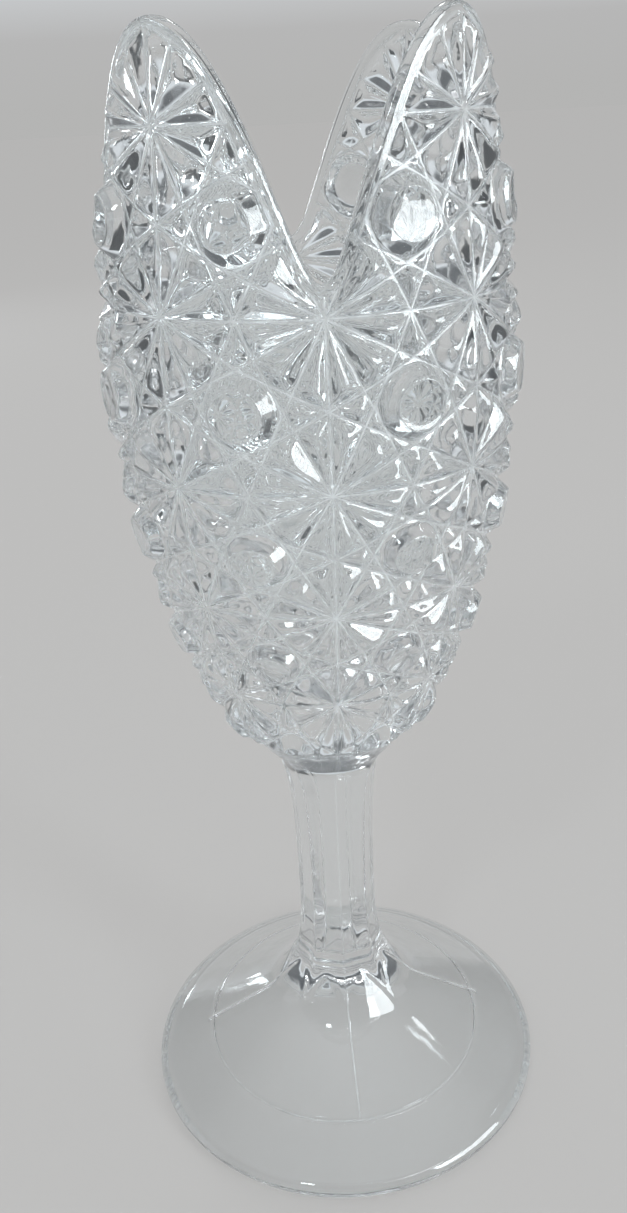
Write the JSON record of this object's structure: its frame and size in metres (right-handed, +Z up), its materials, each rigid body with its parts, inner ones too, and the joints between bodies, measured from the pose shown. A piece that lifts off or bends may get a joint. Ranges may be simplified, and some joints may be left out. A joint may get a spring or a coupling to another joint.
{
  "type": "pressed glass vase",
  "caption": "Footed pressed glass vase: tulip bowl with pointed lobes and star-and-button relief, on a panelled stem and a hollow conical foot. Holds flowers or celery.",
  "frame": {"origin": "centre of the circle that the foot stands on", "axes": "+Z up along the stem; one valley of the rim faces -Y and one faces +X"},
  "size_m": [0.105, 0.105, 0.26],
  "materials": {
    "glass": "glossy clear pressed glass"
  },
  "bodies": {
    "root": {"foot": "glass", "stem": "glass", "bowl": "glass"}
  },
  "joints": []
}
